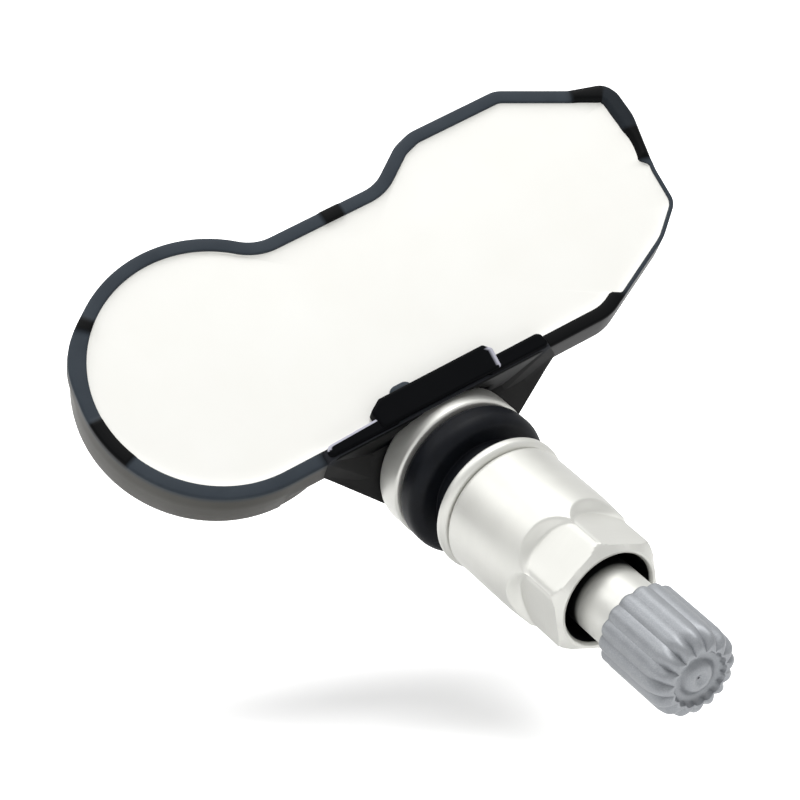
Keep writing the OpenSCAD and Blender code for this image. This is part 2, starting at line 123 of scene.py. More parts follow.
# %% Rounding the corners of a profile
def rounded(points, reach, steps=6, closed=False):
    """The path leaves its edge at A, reach before a corner P, and rejoins it at C, reach after P, along
    A(1-u)^2 + 2Pu(1-u) + Cu^2. reach is cut to under half of each edge. An open path keeps its two ends."""
    p = np.asarray(points, float)
    reach = np.broadcast_to(np.asarray(reach, float), len(p))
    back, ahead = np.roll(p, 1, 0) - p, np.roll(p, -1, 0) - p
    back_len = np.linalg.norm(back, axis=1)
    ahead_len = np.linalg.norm(ahead, axis=1)
    cut = np.minimum(reach, 0.48 * np.minimum(back_len, ahead_len))
    if not closed:
        cut[[0, -1]] = 0
    a = p + back / back_len[:, None] * cut[:, None]
    c = p + ahead / ahead_len[:, None] * cut[:, None]
    u = np.linspace(0, 1, steps)[None, :, None]
    curve = a[:, None] * (1 - u) ** 2 + 2 * p[:, None] * u * (1 - u) + c[:, None] * u**2
    if closed:
        return curve.reshape(-1, p.shape[1])
    return np.vstack([p[:1], curve[1:-1].reshape(-1, p.shape[1]), p[-1:]])


square = rounded([[0, 0], [1, 0], [1, 1], [0, 1]], 0.1, closed=True)
print("a square with eased corners has", len(square), "points")

# %% [markdown]
# ## Turned pieces
# The washer, the grommet and the valve are turned on a lathe or moulded round, so each is a
# closed profile of (radius, distance along the valve) carried round the axis. The profile goes
# outwards along its outside and back along its bore.

# %% Carry a profile round the valve
def turned(name, profile, reach, segments, steps):
    """Ring k = point k of the rounded profile at every angle: radius r_k, distance s_k."""
    path = rounded(profile, reach, steps, closed=True)
    return skin(name, on_valve(path[:, :1], full_turn(segments), path[:, 1:]), join_ends=True)


# %% [markdown]
# ## The tray's outline
# Seen from above the tray is a round battery end, a waist and a six-sided wide end, all cast in
# one wall. A plain way is to draw that outline once, as straight edges joined by arcs, and to
# keep the outward direction of every point. Each level of the wall is then the same points
# moved inwards along those directions, so a bevel, a lip or a ledge is one row of numbers, and
# rows always match point for point. Places are in the tray's own millimetres: x across,
# y counted back from its front, z up from its lip.

# %% A closed path with arcs at its corners
def arced(corners, radii, step=0.25):
    """Returns the points of the path and the outward direction of each. An arc of radius R takes the place
    of each corner: it starts R * tan(turn / 2) before it, and its points are its centre plus R times the
    outward direction, turned step by step."""
    p = np.asarray(corners, float)
    way = np.roll(p, -1, 0) - p
    way /= np.linalg.norm(way, axis=1)[:, None]
    come = np.roll(way, 1, 0)
    turn = np.arctan2(come[:, 0] * way[:, 1] - come[:, 1] * way[:, 0], (come * way).sum(1))
    cut = np.asarray(radii) * np.tan(np.abs(turn) / 2)
    points, outs = [], []
    for i, radius in enumerate(radii):
        side = np.sign(turn[i])
        first = p[i] - cut[i] * come[i]
        a = np.linspace(0, turn[i], max(3, int(radius * abs(turn[i]) / step) + 2))
        x, y = come[i, 1], -come[i, 0]
        out = np.stack([x * np.cos(a) - y * np.sin(a), x * np.sin(a) + y * np.cos(a)], -1)
        arc = first - side * radius * np.array([x, y]) + side * radius * out
        following = (i + 1) % len(p)
        gap = p[following] - cut[following] * way[i] - arc[-1]
        length = np.linalg.norm(gap)
        if length < 0.02:
            points.append(arc[:-1])
            outs.append(out[:-1])
        else:
            parts = max(2, round(length / step))
            share = np.arange(1, parts) / parts
            points += [arc, arc[-1] + share[:, None] * gap]
            outs += [out, np.repeat(out[-1:], len(share), 0)]
    return np.vstack(points), np.vstack(outs)


# %% The tray's place and its outline
FRONT_Y, LIP_Z = 8.674, 4.55
LOBE_X, LOBE_R = -18.5, 14.75
LOBE_CORNER_R, LOBE_CORNER_ANGLES = 18.392, np.radians([86.557, 159.934, 233.311])


def in_tray(xy, z):
    """Tray millimetres to frame millimetres: y moves back by FRONT_Y and z up by LIP_Z."""
    xy = np.asarray(xy, float)
    return np.stack([xy[..., 0], xy[..., 1] + FRONT_Y, np.broadcast_to(z, xy.shape[:-1]) + LIP_Z], -1)


def about_lobe(radius, angle):
    """The point at that radius and angle about the round end's middle. The end touches the tray's front,
    so its middle lies LOBE_R back."""
    return LOBE_X + radius * math.cos(angle), LOBE_R + radius * math.sin(angle)


tray_corners = [
    (21.3, 0), (31.5, 4.9), (35.1, 7.9), (35.5, 12.2), (37.1, 18.8), (37.1, 21.9), (36.4, 23.5),
    (32.5, 24.7), (25.2, 28.5), (14.1, 28.5), (11.8, 27.8), (7.41, 24.85), (-7.59, 24.85),
    *(about_lobe(LOBE_CORNER_R, angle) for angle in LOBE_CORNER_ANGLES),
]
tray_radii = [6, 6, 2.2, 5, 5, 2.5, 2.1, 6, 3, 4, 4, 5, 5, LOBE_R, LOBE_R, LOBE_R]
rim, rim_out = arced(tray_corners, tray_radii)
along = np.concatenate([[0], np.cumsum(np.linalg.norm(np.diff(rim, axis=0), axis=1))])
print("tray outline:", len(rim), "points,", round(along[-1], 1), "mm round")

# %% [markdown]
# ## The tray's wall
# The wall is 1.5 mm thick with a rounded lip. At the wide end's front it thins to a lip that the
# resin almost reaches over, and at the far corner it swells into a smooth raised ridge. Two
# flats on the round end and a nub on the back stand a hair higher, and between the flats the
# outside bulges by 0.4 mm. All of that is written as weights along the rim: 1 inside a stretch,
# falling smoothly to 0 outside it. The same weights say where the colour paints dark reflections
# on the rim, which is near black there.

# %% Stretches of the rim
def stretch(first, last, soft):
    """1 between the rim points nearest to first and last, with smooth ends soft mm long."""
    start, end = [along[np.argmin(((rim - np.array(q)) ** 2).sum(1))] for q in (first, last)]
    total = along[-1] + np.linalg.norm(rim[0] - rim[-1])
    past, length = (along - start) % total, (end - start) % total
    past = np.where(past > (length + total) / 2, past - total, past)
    w = np.clip(np.minimum(past, length - past) / soft + 0.5, 0, 1)
    return w * w * (3 - 2 * w)


def on_round_end(degrees):
    """The point of the round end's edge at that angle about its middle."""
    return about_lobe(LOBE_R, math.radians(degrees))


thin = stretch((23.6, 1.1), (35.7, 13.2), 0.9)
ridge = stretch((35.75, 13.7), (32.6, 24.7), 0.35)
ridge_body = stretch((36.6, 17.3), (34.3, 24.2), 4.6)
ridge_foot = stretch((35.75, 13.7), (36.6, 17.0), 1.6)
round_end = stretch(on_round_end(52), on_round_end(269.5), 0.3)
flats = stretch(on_round_end(129.5), on_round_end(136), 0.9)
flats += stretch(on_round_end(177.5), on_round_end(200), 0.4)
nub = stretch((2.7, 24.85), (0.1, 24.85), 0.3)
bulge = 0.4 * stretch(on_round_end(136), on_round_end(160), 5.0)
wall = 1.5 - 1.05 * thin - 0.2 * ridge_foot + 0.6 * ridge_body
top = 0.26 * ridge + 0.1 * ridge_body + 0.14 * flats + 0.15 * nub
outer_round = 0.3 - 0.14 * thin + 0.25 * ridge
inner_round = 0.22 - 0.1 * thin + 0.42 * ridge
print("wall from", wall.min().round(2), "to", wall.max().round(2), "mm thick")


# %% Keep clear of the valve's collar
COLLAR_S, COLLAR_R, COLLAR_ROOM = -6.9, 8.3, 8.7


def clear_of_collar(points):
    """A point in front of the collar's back and nearer the valve than COLLAR_ROOM moves the shorter way out:
    back along the valve to the collar's back, or outwards to COLLAR_ROOM."""
    s = points @ OUTWARD
    away = points - s[..., None] * OUTWARD
    r = np.linalg.norm(away, axis=-1)
    inside = (s > COLLAR_S) & (r < COLLAR_ROOM)
    back = inside & (s - COLLAR_S <= COLLAR_ROOM - r)
    side = inside & ~back
    moved = points - np.where(back, s - COLLAR_S, 0)[..., None] * OUTWARD
    return moved + np.where(side, COLLAR_ROOM / np.maximum(r, 0.1) - 1, 0)[..., None] * away


# %% The tray's wall as rows of inset and level
def level(inset, z, proud=0.0):
    """One row: rim point minus inset times its outward direction, plus what stands proud, at height z."""
    inset = np.broadcast_to(inset, along.shape) - proud
    return in_tray(rim - inset[:, None] * rim_out, z)


DEEP, SHALLOW, BEVEL_Z = -9.4, -6.8, -2.6
ROUNDING = np.linspace(0, math.pi / 2, 6)
drop = (DEEP - SHALLOW) * round_end
rows = [
    level(2.0 + round_end, SHALLOW),
    level(1.85 + 0.4 * round_end, SHALLOW + drop),
    level(1.75 + 0.3 * round_end, SHALLOW + 0.12 + drop),
]
first_side_row = len(rows)
rows += [
    level(0.16 + 0.18 * round_end, -4.2 - 2.25 * round_end),
    level(0.03 + 0.22 * round_end, -3.9 - 2.1 * round_end),
]
rows += [level(0.25 * round_end * max(0, BEVEL_Z - z) / 3.4, z) for z in np.arange(-3.6, -2.5, 0.5)]
rows += [level(0, z, bulge * min(1, (z - BEVEL_Z) / 0.8)) for z in np.arange(-2.1, -0.6, 0.4)]
first_lip_row = len(rows)
for a in ROUNDING:
    rows.append(level(outer_round * (1 - math.cos(a)), top - outer_round * (1 - math.sin(a)), bulge))
rows.append(level((outer_round + wall - inner_round) / 2, top, bulge / 2))
for a in ROUNDING[::-1]:
    rows.append(level(wall - inner_round * (1 - math.cos(a)), top - inner_round * (1 - math.sin(a))))
rows += [level(wall, -0.62), level(wall, -0.8), level(1.5 + 0.6 * ridge_body, -0.85)]
rows += [level(1.55, -1.0), level(1.55, -2.84)]
tray_wall = skin("tray_wall", clear_of_collar(np.array(rows)), smooth_below=38)
print("tray wall:", len(tray_wall.data.polygons), "faces")

# %% Painted dark reflections on the lip and painted shade on the front
ridge_ends = stretch((35.75, 13.5), (36.6, 17.2), 1.2) + stretch((36.0, 23.6), (32.6, 24.7), 1.6)
row = np.arange(len(rows))[:, None]
# Near black paints dark reflections on the rim's flats, nub and ridge, and shade on the front wall.
on_lip = (row >= first_lip_row) * (flats + nub + 0.6 * ridge + ridge_ends)
on_front = (row >= first_side_row) * stretch((-14.6, 0.0), (24.2, 1.4), 1.5)
painted_shade = np.clip(on_lip + on_front, 0, 1)
store(tray_wall, "painted_shade_and_tone", painted_shade)
print("polished vertices of the tray wall:", int((painted_shade > 0.5).sum()))

# %% The battery bowl below the wing
def round_in_tray(middle, profile, angle):
    """Ring k = middle + radius_k * (cos(angle), sin(angle)) at height_k, in the tray's millimetres."""
    x = middle[0] + profile[:, :1] * np.cos(angle)
    y = middle[1] + profile[:, :1] * np.sin(angle)
    return in_tray(np.stack([x, y], -1), profile[:, 1:])


BOWL_TOP = -3.2
bowl_profile = rounded(
    [(2, DEEP), (12.62, DEEP), (14.42, -6.2), (14.5, BOWL_TOP), (2, BOWL_TOP)], 0.35, 6)
battery_bowl = skin("battery_bowl", round_in_tray((LOBE_X, LOBE_R), bowl_profile, full_turn(180)))
print("battery bowl:", len(battery_bowl.data.polygons), "faces")

# %% [markdown]
# ## The block, the shoulders and the flared boss
# The valve is carried by a thick block with two shoulders, and gussets run from their front face
# down to a disc behind the collar. The block and the shoulders are paths with rounded edges on
# top. The boss is a loft: its back row is the front face's outline and its front row the disc,
# matched by the direction that each point faces.

# %% A low slab with an eased top edge
SLAB_BASE = -1.2


def slab(name, corners, radii, height, ease=0.3, painted_glint=0.0, glint_from=(0, 0, 0)):
    """Rows of the path: upright from SLAB_BASE, a quarter circle of radius ease up to height, and a flat row
    a twentieth of the way to the middle. Where a point is past the given point in x, y and z, a pale
    highlight is painted on it, as strong as the given amount. The flat row takes its smallest value, so
    that the top stays clean."""
    path, out = arced(corners, radii)
    levels = [(0, z) for z in np.arange(SLAB_BASE, height - ease - 0.2, 0.3)]
    levels += [(ease * (1 - math.cos(a)), height - ease * (1 - math.sin(a))) for a in ROUNDING]
    rows = [in_tray(path - inset * out, z) for inset, z in levels]
    rows.append(0.95 * rows[-1] + 0.05 * rows[-1].mean(0))
    piece = skin(name, clear_of_collar(np.array(rows)))
    # Pale painted highlight where a point is past the given point.
    glint_amount = painted_glint * (np.array(rows) - [0, FRONT_Y, LIP_Z] > glint_from).all(-1)
    glint_amount[-1] = glint_amount.min()
    store(piece, "painted_glint", glint_amount)
    return piece


# The block's right end and the back of the left shoulder's top get a painted highlight.
valve_block = slab(
    "valve_block", [(-7.5, 0.3), (7.2, 0.3), (7.45, 2.6), (6.7, 3.4), (-6.2, 3.4), (-7.7, 2.5)],
    [0.5, 0.4, 0.3, 0.3, 0.4, 0.4], height=1.0, ease=0.28, painted_glint=1.0, glint_from=(6.9, -1, 0.74))
right_shoulder = slab(
    "right_shoulder", [(5.5, 0.12), (13.2, 0.12), (12.9, 1.85), (5.5, 1.85)],
    [0.3, 0.5, 0.7, 0.3], height=0.85)
left_shoulder = slab(
    "left_shoulder", [(-14.3, 0.2), (-5.5, 0.12), (-5.5, 1.75), (-13.6, 1.5)],
    [0.5, 0.3, 0.3, 0.7], height=0.8, painted_glint=1.0, glint_from=(-20, 0.95, 0.5))
block_pip = slab(
    "block_pip", [(-4.5, 2.4), (-1.8, 2.4), (-1.8, 4.2), (-4.5, 4.2)],
    [0.89] * 4, height=0.2, ease=0.6, painted_glint=0.3)
for piece in (valve_block, right_shoulder, left_shoulder, block_pip):
    print(piece.name, "has", len(piece.data.polygons), "faces")

# %% The flared boss
FACE_Y, DISC_R = -0.02, 7.6
face, face_out = arced([(-14.3, -4.1), (15.1, -4.1), (13.1, 0.5), (-14.3, 0.5)], [0.8, 0.8, 0.5, 0.5])
faces_way = np.unwrap(np.arctan2(face_out[:, 1], face_out[:, 0]))
disc_angle = 0.86 * faces_way + 0.14 * (faces_way[0] + full_turn(len(face)))
front_face = np.stack([face[:, 0], np.full(len(face), FRONT_Y + FACE_Y), face[:, 1] + LIP_Z], -1)
behind = front_face + np.array([0, 1.2, 0])
disc = on_valve(DISC_R, disc_angle, COLLAR_S - 1.0)
share = np.linspace(0, 1, 14)[:, None, None]
boss_rows = [behind, *((1 - share) * front_face + share * disc)]
boss_rows += [on_valve(DISC_R - dip, disc_angle, s) for dip, s in ((0, -7.2), (0.05, -7.0), (0.2, -6.92))]
valve_boss = skin("valve_boss", np.array(boss_rows), smooth_below=75)
print("flared boss:", len(valve_boss.data.polygons), "faces")

# %% The root's boss and the air hole under the tray
HOLE_PLACE, HOLE_R, HOLE_SIDES = (20.0, 14.5), 0.9, 48
root_boss = turned(
    "root_boss",
    [(1.4, -12.65), (5.8, -12.65), (5.8, -11.7), (7.35, -8.1), (7.3, -7.2), (4.45, -7.2), (4.45, -11.35),
     (1.4, -11.35)],
    [0.1, 0.35, 0.6, 0.3, 0.1, 0.1, 0.1, 0.1], 128, 6)
# The root's boss is a little darker all over.
store(root_boss, "painted_shade_and_tone", np.full(len(root_boss.data.vertices), 0.3))
hole_rows = np.array([(1.75, 0.05), (1.65, -0.08), (1.02, -0.08), (HOLE_R, -0.02), (HOLE_R - 0.05, -0.02)])
hole_rings = round_in_tray(HOLE_PLACE, hole_rows + [0, SHALLOW], -full_turn(HOLE_SIDES))
air_hole = skin("air_hole", hole_rings)
# The hole's inside is painted near black: painted shade in place of its depth.
store(air_hole, "painted_shade_and_tone", np.repeat([0, 0, 0.4, 1, 1], HOLE_SIDES))
print("root's boss and air hole:", len(root_boss.data.polygons) + len(air_hole.data.polygons), "faces")

# %% [markdown]
# ## The resin
# Liquid resin creeps a little way up the walls before it cures, so its face is not quite flat: a
# thin meniscus rises at the edge. The rows start at the tray's inner wall and shrink towards a
# middle point that sees the whole wall, so no two rows can cross, even in a tight corner. The
# height falls off with the distance from the wall.

# %% Resin with its meniscus
TRAY_MIDDLE = np.array([0.0, 16.5])
RESIN_Z, CREEP, FADE, RESIN_GAP = -0.4, 0.17, 0.45, 0.02


def resin_level(distance):
    """Height = -0.4 + 0.17 * exp(-distance / 0.45): the face lies below the lip and climbs at the wall."""
    return RESIN_Z + CREEP * np.exp(-distance / FADE)


edge = rim - (wall + RESIN_GAP)[:, None] * rim_out
inward = TRAY_MIDDLE - edge
span = np.linalg.norm(inward, axis=1)[:, None]
inward /= span
slant = np.clip(-(inward * rim_out).sum(1), 0.6, 1)[:, None]
resin_rows = [level(1.6, -1.79), level(1.56, -0.86), level(wall + RESIN_GAP, -0.83)]
for distance in (0, 0.06, 0.15, 0.3, 0.55, 1.0, 1.8):
    resin_rows.append(in_tray(edge + distance / slant * inward, resin_level(distance)))
for share in (0.5, 0.2):
    resin_rows.append(in_tray(TRAY_MIDDLE - share * span * inward, RESIN_Z))
resin_face = skin("resin_face", np.array(resin_rows), smooth_below=50)
print("resin:", len(resin_face.data.polygons), "faces")

# %% [markdown]
# ## The valve, its grommet and the washer
# These are turned: the profile's corners are eased by about the tool's nose radius. The stem's
# thread is 32 to the inch, which is one turn every 0.794 mm. It is a dip in the radius that
# follows distance minus turn, and it fades out before the smooth neck that shows between the
# nut and the cap. The length inside the nut's recess is marked, and near black paints the shade
# there.

# %% Threaded stem with its collar
STEM_R, STEM_END, COLLAR_FRONT = 3.87, 34.6, -3.7
PITCH, THREAD_DEEP = 0.794, 0.34
THREAD_START, NECK_START, NECK_END = 3.6, 20.4, 27.6
RECESS_SHADE_FROM, RECESS_SHADE_TO = 15.8, 22


def stem_path():
    """The profile from the root over the collar, along the thread and back down the bore."""
    back = rounded(
        [(1.1, -11.3), (3.9, -11.3), (4.4, -10.8), (4.4, COLLAR_S), (COLLAR_R, COLLAR_S),
         (COLLAR_R, COLLAR_FRONT), (STEM_R, COLLAR_FRONT)], [0.1, 0.1, 0.2, 0.1, 0.42, 0.42, 0.1], 7)
    mouth = rounded(
        [(STEM_R, STEM_END - 0.6), (3.3, STEM_END), (2.62, STEM_END), (2.62, 26.6), (1.75, 24.8),
         (1.75, 19.0), (1.1, 18.4)], 0.12, 5)
    s = np.append(np.arange(-3.5, 21.6, PITCH / 8), np.arange(22.2, 33.9, PITCH / 8))
    return np.vstack([back, np.stack([np.full(s.size, STEM_R), s], -1), mouth])


def stem_surface():
    """Radius = profile - depth * (1 + cos(2 pi s / pitch - angle)) / 2 where the thread runs."""
    path = stem_path()
    r, s, angle = np.broadcast_arrays(path[:, :1], path[:, 1:], full_turn(128))
    runs = np.clip((s - THREAD_START) / 0.6, 0, 1) * np.clip((NECK_START - s) / 1.2, 0, 1)
    runs += np.clip((s - NECK_END) / 1.2, 0, 1)
    outside = (np.abs(r - STEM_R) < 0.05) & (s > -3.6)
    dip = THREAD_DEEP * (1 + np.cos(2 * np.pi * s / PITCH - angle)) / 2
    stem = skin("threaded_stem", on_valve(r - np.where(outside, runs * dip, 0), angle, s), join_ends=True)
    # The stem inside the nut's recess is marked for painted shade.
    store(stem, "bore", outside & (s > RECESS_SHADE_FROM) & (s < RECESS_SHADE_TO))
    return stem


threaded_stem = stem_surface()
print("stem:", len(threaded_stem.data.polygons), "faces")

# %% Grommet and washer
grommet_ring = turned(
    "rubber_grommet",
    [(3.9, -3.68), (7.55, -3.68), (8.25, -2.9), (8.28, -1.0), (7.6, -0.03), (5.7, -0.02), (5.7, 2.58),
     (3.9, 2.58)],
    [0.1, 0.4, 0.8, 0.8, 0.6, 0.1, 0.2, 0.1], 192, 7)
washer_ring = turned(
    "clamping_washer",
    [(4.04, 2.61), (7.25, 2.61), (7.65, 2.85), (7.62, 3.6), (7.2, 3.98), (4.04, 3.98)],
    [0.1, 0.25, 0.35, 0.35, 0.3, 0.1], 192, 7)
print("grommet and washer:", len(grommet_ring.data.polygons) + len(washer_ring.data.polygons), "faces")

# %% [markdown]
# ## The hexagon nut
# The nut is turned round first, and then six flats are milled part of the way with a cutter that
# leaves an arch at the end of each. Both operations are radii: the turned profile R(s), and a
# flat's 6 / cos(angle from its middle). The surface is the smaller of the two, but only beyond
# the arch, and the step there is eased as on a tumbled part.

# %% Nut with milled flats
NUT_S, NUT_LEN, NUT_R, NUT_END_R = 4.02, 18.1, 7.3, 5.65
FLAT, FLAT_LEN, CUTTER = 6.0, 7.4, 4.0
RECESS_R, RECESS_S, NUT_BORE = 5.1, 11.7, 3.93
HALF_FLAT = np.pi / 6


def nut_path():
    """The turned profile up the outside, with a row every 0.12 mm where the flats are, and down the bore."""
    outer = rounded(
        [(5.6, 0), (6.85, 0), (NUT_R, 0.45), (NUT_R, 9.4), (7.05, 12.9), (7.02, 17.0), (NUT_END_R, NUT_LEN)],
        [0.1, 0.2, 0.5, 2.5, 2.5, 0.9, 0.25], 8)
    low = outer[outer[:, 1] < 9.5]
    high = outer[outer[:, 1] > 16.6]
    fine = np.arange(0, NUT_LEN, 0.12)
    fine = fine[(fine > low[-1, 1] + 0.1) & (fine < high[0, 1] - 0.06)]
    flats_part = np.stack([np.interp(fine, outer[:, 1], outer[:, 0]), fine], -1)
    hole = rounded(
        [(NUT_END_R, NUT_LEN), (5.35, 18.05), (5.12, 17.7), (RECESS_R, RECESS_S), (NUT_BORE, RECESS_S),
         (NUT_BORE, 0.2), (4.2, 0)], 0.1, 4)
    return np.vstack([low, flats_part, high, hole[1:]])


def nut_surface():
    """r = R - w * max(0, R - F). F = 6 / cos(d), less up to 0.12 mm at the worn edge between two flats, where
    d is the angle from the nearest flat's middle. w climbs smoothly from 0 to 1 over 0.9 mm, from 0.2 mm
    before the arch, which lies at length - 7.4 + 4 - sqrt(16 - t * t) with t = 6 tan(d)."""
    path = nut_path()
    r, s, angle = np.broadcast_arrays(path[:, :1], path[:, 1:], full_turn(480))
    d = (angle + HALF_FLAT) % (2 * HALF_FLAT) - HALF_FLAT
    flat = FLAT / np.cos(d) - 0.12 * np.exp(-((HALF_FLAT - np.abs(d)) / 0.05) ** 2)
    arch = NUT_LEN - FLAT_LEN + CUTTER - np.sqrt(CUTTER**2 - (FLAT * np.tan(d)) ** 2)
    w = np.clip((s - arch + 0.2) / 0.9, 0, 1)
    cut = np.where(r > NUT_END_R - 0.01, w * w * (3 - 2 * w) * np.maximum(0, r - flat), 0)
    nut = skin("hexagon_nut", on_valve(r - cut, angle, s + NUT_S), join_ends=True, smooth_below=32)
    # The wall of the nut's recess is marked for painted shade.
    store(nut, "bore", (r < RECESS_R + 0.025) & (s > 0.1) & (s < NUT_LEN - 0.35))
    return nut


hexagon_nut = nut_surface()
print("nut:", len(hexagon_nut.data.polygons), "faces")

# %% [markdown]
# ## The ribbed cap
# The cap is moulded plastic with sixteen soft ribs that wrap round its end, a ring-shaped hollow
# in the end face and a small boss in the middle, where the mould fed it. The ribs are a dip in
# the radius that follows the angle. Towards the end the dips grow deeper, which makes the edge
# scalloped.

# %% Cap with its ribs
CAP_S, CAP_R, CAP_END = 26.82, 4.9, 10.0
RIBS, RIB_TURN = 16, math.radians(15)
CAP_INSIDE = [(0.12, 8.4), (3.75, 8.4), (3.93, 8.2), (3.93, 0.5), (4.2, 0.02)]


def cap_path():
    """The profile up the side and across the hollow end. Heights of the end are counted from CAP_END."""
    side = rounded(
        [(4.3, 0), (4.75, 0), (CAP_R, 0.3), (CAP_R, 8.3), (4.6, 9.45), (3.8, 10.05), (3.2, CAP_END)],
        [0.1, 0.15, 0.25, 1.2, 0.8, 0.4, 0.15], 8)
    end = [(3.2, 0), (2.85, -0.7), (2.1, -0.85), (1.5, -0.1), (0.9, 0.08), (0.45, -0.15), (0.12, -0.3)]
    end = rounded(np.array(end) + [0, CAP_END], 0.4, 7)
    s = np.arange(0.9, 7.6, 0.35)
    ribbed = np.stack([np.full(s.size, CAP_R), s], -1)
    return np.vstack([side[side[:, 1] < 0.86], ribbed, side[side[:, 1] > 7.6], end[1:]])


def cap_surface():
    """r = R(s) - depth(s) * dip(angle); dip = 1 - |cos(8 (angle - turn))| is 0 on a rib and 1 between two.
    depth is 0.2 mm, a little more at the open end, and grows by up to 0.5 mm towards the closed end."""
    outer = cap_path()
    path = np.vstack([outer, CAP_INSIDE])
    r, s, angle = np.broadcast_arrays(path[:, :1], path[:, 1:], full_turn(384))
    dip = 1 - np.abs(np.cos(RIBS / 2 * (angle - RIB_TURN)))
    deep = 0.2 + 0.5 * np.clip((s - 7.0) / 2.2, 0, 1) ** 2 + 0.2 * np.clip(1 - s, 0, 0.6)
    outside = (np.arange(len(path)) < len(outer))[:, None] * np.clip((r - 2.8) / 1.1, 0, 1)
    return skin("ribbed_cap", on_valve(r - outside * deep * dip, angle, s + CAP_S), join_ends=True)


ribbed_cap = cap_surface()
print("cap:", len(ribbed_cap.data.polygons), "faces")

# %% [markdown]
# ## Materials
# Each finish starts from the real material and how its surface was made. A small function adds
# one node with its settings, values and links, and another turns an sRGB hex colour into the
# linear numbers that the shader works with. A Mix node has sockets for every kind of data, so
# its colour sockets are picked by number, and the numbers get names.

# %% Colours and nodes
FACTOR, FIRST, SECOND, MIXED = 0, 6, 7, 2


def linear(code):
    """sRGB to linear: c / 12.92 up to 0.04045, ((c + 0.055) / 1.055) ** 2.4 above."""
    c = np.array([int(code[i:i + 2], 16) for i in (1, 3, 5)]) / 255
    return (*np.where(c <= 0.04045, c / 12.92, ((c + 0.055) / 1.055) ** 2.4), 1.0)


def add(tree, kind, values=(), **settings):
    """Adds a node, sets its properties, and fills or links its inputs by name or number."""
    node = tree.nodes.new(kind)
    for key, value in settings.items():
        setattr(node, key, value)
    for key, value in dict(values).items():
        if isinstance(value, bpy.types.NodeSocket):
            tree.links.new(value, node.inputs[key])
        else:
            node.inputs[key].default_value = value
    return node


print("white in linear:", linear("#ffffff")[:3])

# %% A material, its links and its layers of colour
def start(name, values):
    """A new material and its Principled shader, filled with values. Returns the material, its tree, the
    shader and the socket of the Object coordinates."""
    material = bpy.data.materials.new(name)
    material.use_nodes = True
    tree = material.node_tree
    tree.nodes.clear()
    shader = add(tree, "ShaderNodeBsdfPrincipled", values)
    add(tree, "ShaderNodeOutputMaterial", {"Surface": shader.outputs[0]})
    place = add(tree, "ShaderNodeTexCoord").outputs["Object"]
    return material, tree, shader, place


def feed(tree, shader, links):
    """Links each value into the shader's input of that name."""
    for name, value in links.items():
        tree.links.new(value, shader.inputs[name])


def layered(tree, base, *layers):
    """Each layer covers what lies below it by its amount: colour = (1 - amount) * colour + amount * shade.
    Returns the socket of the last colour."""
    colour = linear(base)
    for amount, shade in layers:
        layer = {FACTOR: amount, FIRST: colour, SECOND: linear(shade)}
        colour = add(tree, "ShaderNodeMix", layer, data_type="RGBA").outputs[MIXED]
    return colour


# %% [markdown]
# ### Glass-filled nylon
# The tray is PA66 with glass fibre, injection-moulded in black. The mould gives it a satin skin
# with a very fine grain of about 0.1 mm, and the fibres near the surface make the gloss patchy.
# At this size a 0.1 mm grain is close to one pixel, so it is drawn at 0.18 mm. The tray's blue-grey is
# lighter than the plain black of the block and its shoulders, which have less gleam: it is a painted
# sheen, and the warmer grey below the lip paints the floor's reflection. Where the rim, the front wall
# and the air hole are marked, near black paints dark reflections and shade, and the root's boss is a
# little darker all over. The flared boss is matt, and its lighter grey paints light on it. A second
# mark paints pale lavender highlights on the block's right end and the back of the left shoulder's top.

# %% Material of the tray
def nylon_finish(name, dark, pale, low, rough, gleam):
    """Patches from dark to pale, low below the lip as the floor's painted reflection, then the painted shade
    and the painted highlights where they are marked.
    """
    material, tree, shader, place = start(name, {"IOR": 1.53, "Specular IOR Level": gleam})
    grains = add(tree, "ShaderNodeTexNoise", {"Vector": place, "Scale": 1 / (0.18 * MM), "Detail": 3.0})
    patches = add(tree, "ShaderNodeTexNoise", {"Vector": place, "Scale": 1 / (4 * MM), "Detail": 4.0})
    grain, patchy = grains.outputs["Fac"], patches.outputs["Fac"]
    height = add(tree, "ShaderNodeSeparateXYZ", {"Vector": place}).outputs["Z"]
    # Below the lip the colour turns to low: painted reflection of the floor.
    under = add(tree, "ShaderNodeMapRange", {"Value": height, "From Min": 4.4 * MM, "From Max": 3.4 * MM})
    painted_shade_and_tone, painted_glint = [add(tree, "ShaderNodeAttribute", attribute_name=mark) for mark in ("painted_shade_and_tone", "painted_glint")]
    # Near black #040506 paints shade and dark reflections, and #b4b4c0 paints highlights, where marked.
    colour = layered(tree, dark, (patchy, pale), (under.outputs["Result"], low),
                     (painted_shade_and_tone.outputs["Fac"], "#040506"), (painted_glint.outputs["Fac"], "#b4b4c0"))
    gloss = add(tree, "ShaderNodeMapRange", {"Value": patchy, "To Min": rough - 0.06, "To Max": rough + 0.08})
    bump = add(tree, "ShaderNodeBump", {"Height": grain, "Strength": 0.25, "Distance": 0.01 * MM})
    feed(tree, shader, {"Base Color": colour, "Roughness": gloss.outputs["Result"],
                        "Normal": bump.outputs["Normal"]})
    return material


# The tray's blue-grey is a painted sheen, and its warm grey below the lip a painted floor reflection.
nylon = nylon_finish("black_glass_filled_nylon", "#2e343b", "#40474e", "#464541", 0.44, 0.06)
smooth_nylon = nylon_finish("polished_black_nylon", "#060709", "#0c0d0f", "#0c0d0f", 0.42, 0.02)
# The boss's lighter grey paints light on it.
matt_nylon = nylon_finish("matt_black_nylon", "#26272b", "#303236", "#2a2a2a", 0.6, 0.03)
print("finishes of the moulding:", [m.name for m in (nylon, smooth_nylon, matt_nylon)])

